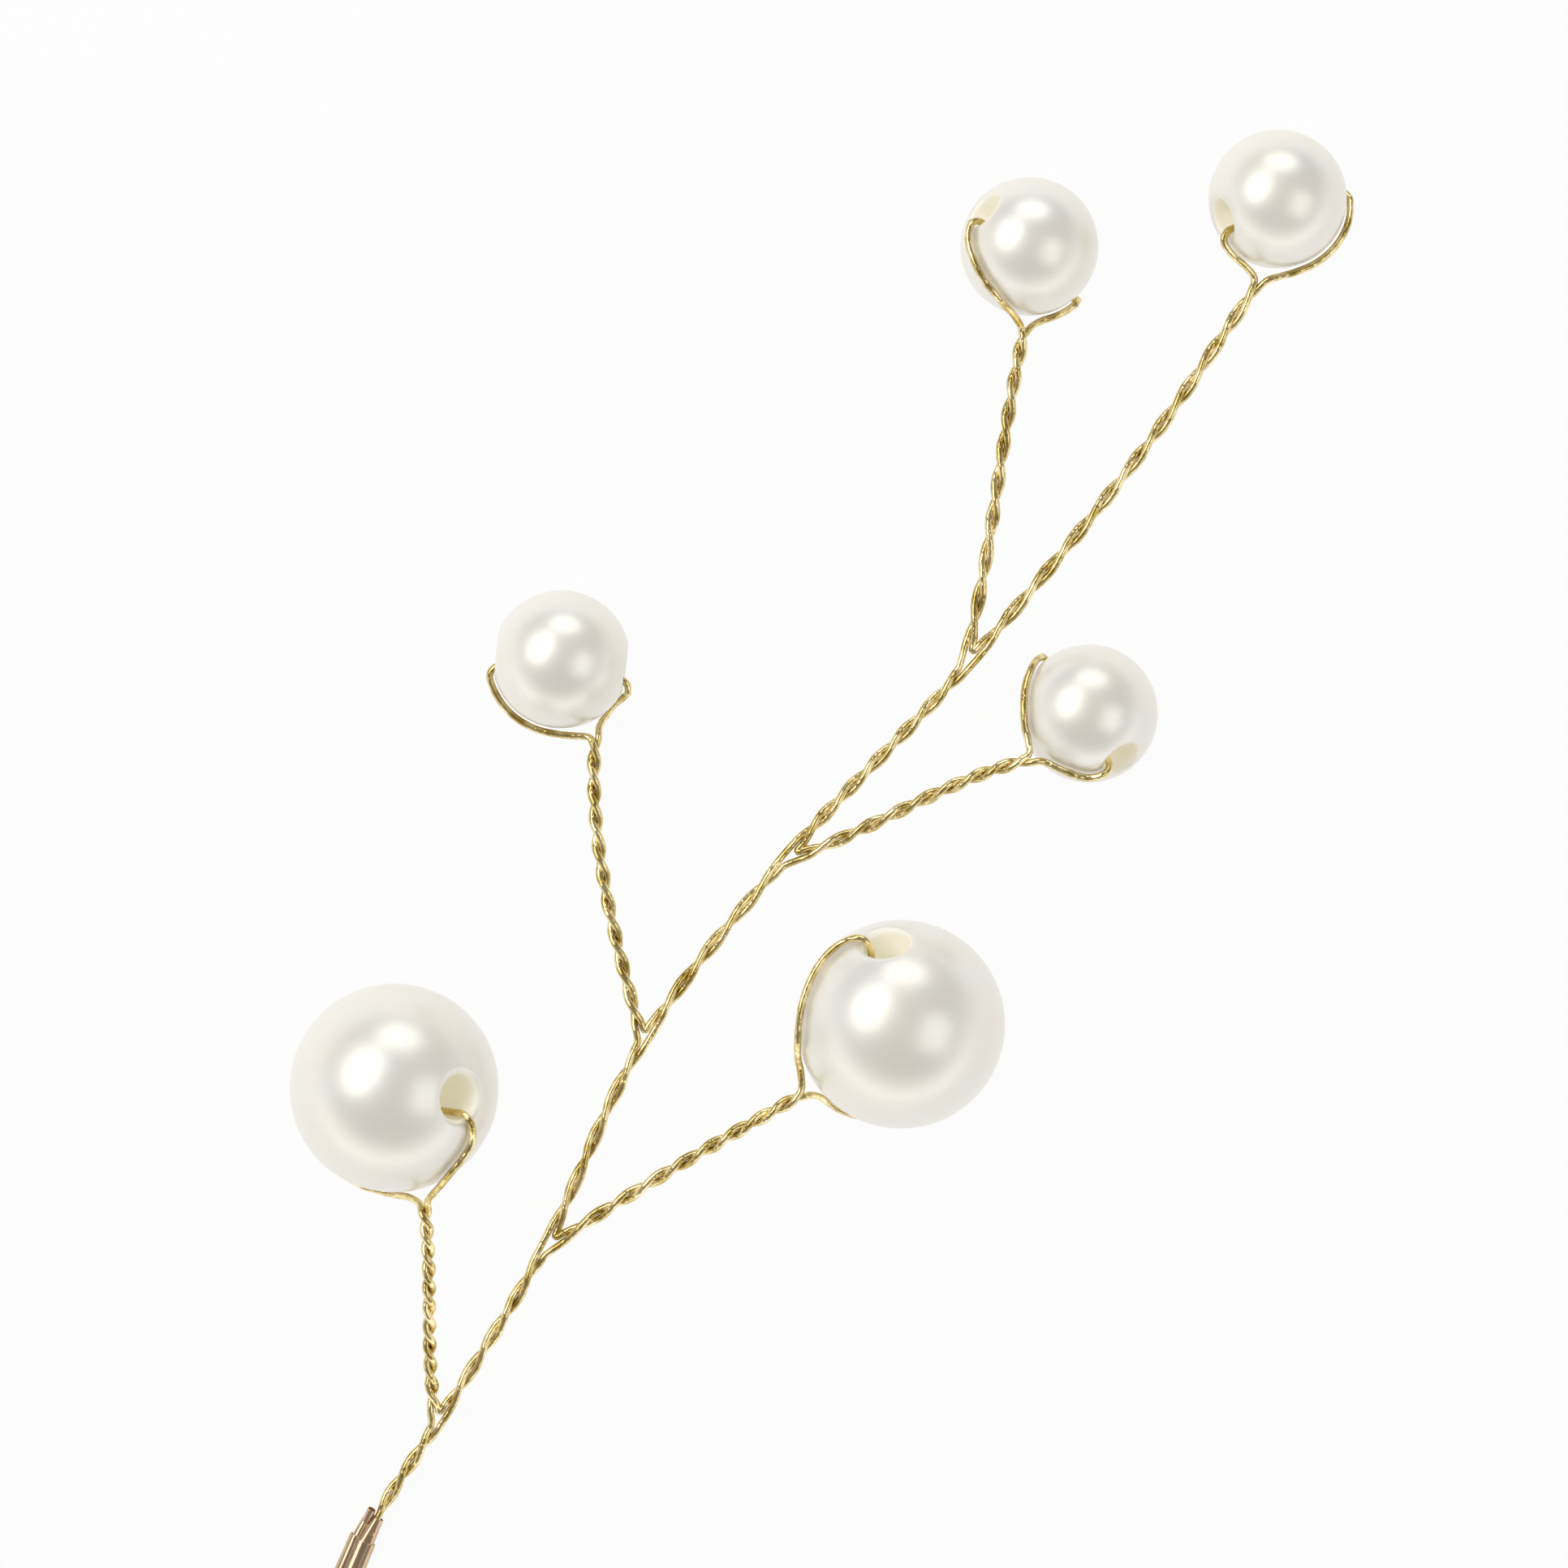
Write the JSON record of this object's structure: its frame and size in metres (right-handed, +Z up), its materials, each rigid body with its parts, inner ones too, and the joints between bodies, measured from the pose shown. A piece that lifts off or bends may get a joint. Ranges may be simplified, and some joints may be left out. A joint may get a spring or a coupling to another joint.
{
  "type": "decorative hair pin",
  "caption": "Hair pin with a branching sprig of twisted gold wire that carries loose imitation pearls, crimped to a two-prong wire pin that slides into the hair.",
  "frame": {"origin": "on the pin's axis, where the prongs leave the crimp ferrule", "axes": "+Y from the prongs up the sprig, +Z up from the table that the pin lies on, +X to the right"},
  "size_m": [0.0388, 0.1646, 0.0119],
  "materials": {
    "pearl": "pearlescent lacquer",
    "gold_wire": "bright pale gold plate",
    "bronze": "polished champagne bronze plate"
  },
  "bodies": {
    "sprig": {"crimp_ferrule": "bronze", "hair_pin": "bronze", "wire_lower_left": "gold_wire", "wire_lower_right": "gold_wire", "wire_middle_left": "gold_wire", "wire_middle_right": "gold_wire", "wire_upper_left": "gold_wire", "wire_top": "gold_wire", "stem_left_1": "gold_wire", "stem_left_2": "gold_wire", "stem_left_3": "gold_wire", "stem_right_1": "gold_wire", "stem_right_2": "gold_wire", "stem_right_3": "gold_wire"},
    "lower_left_pearl": {"pearl_lower_left": "pearl"},
    "lower_right_pearl": {"pearl_lower_right": "pearl"},
    "middle_left_pearl": {"pearl_middle_left": "pearl"},
    "middle_right_pearl": {"pearl_middle_right": "pearl"},
    "upper_left_pearl": {"pearl_upper_left": "pearl"},
    "top_pearl": {"pearl_top": "pearl"}
  },
  "joints": [
    {"name": "lower_left_pearl_spin", "type": "hinge", "parent": "sprig", "child": "lower_left_pearl", "pos_m": [-0.0081, 0.0316, 0.00549], "axis": [0.6725, 0.2185, 0.7071], "continuous": true},
    {"name": "lower_right_pearl_spin", "type": "hinge", "parent": "sprig", "child": "lower_right_pearl", "pos_m": [0.01745, 0.04615, 0.00549], "axis": [-0.4619, 0.7112, 0.5299], "continuous": true},
    {"name": "middle_left_pearl_spin", "type": "hinge", "parent": "sprig", "child": "middle_left_pearl", "pos_m": [-0.00875, 0.0581, 0.00348], "axis": [0.9613, 0.2756, 0], "continuous": true},
    {"name": "middle_right_pearl_spin", "type": "hinge", "parent": "sprig", "child": "middle_right_pearl", "pos_m": [0.0207, 0.0669, 0.00348], "axis": [0.7189, -0.4668, 0.515], "continuous": true},
    {"name": "upper_left_pearl_spin", "type": "hinge", "parent": "sprig", "child": "upper_left_pearl", "pos_m": [0.00715, 0.0906, 0.00348], "axis": [-0.8721, 0.2174, 0.4384], "continuous": true},
    {"name": "top_pearl_spin", "type": "hinge", "parent": "sprig", "child": "top_pearl", "pos_m": [0.0194, 0.09865, 0.00348], "axis": [-0.6915, -0.6448, 0.3256], "continuous": true}
  ]
}
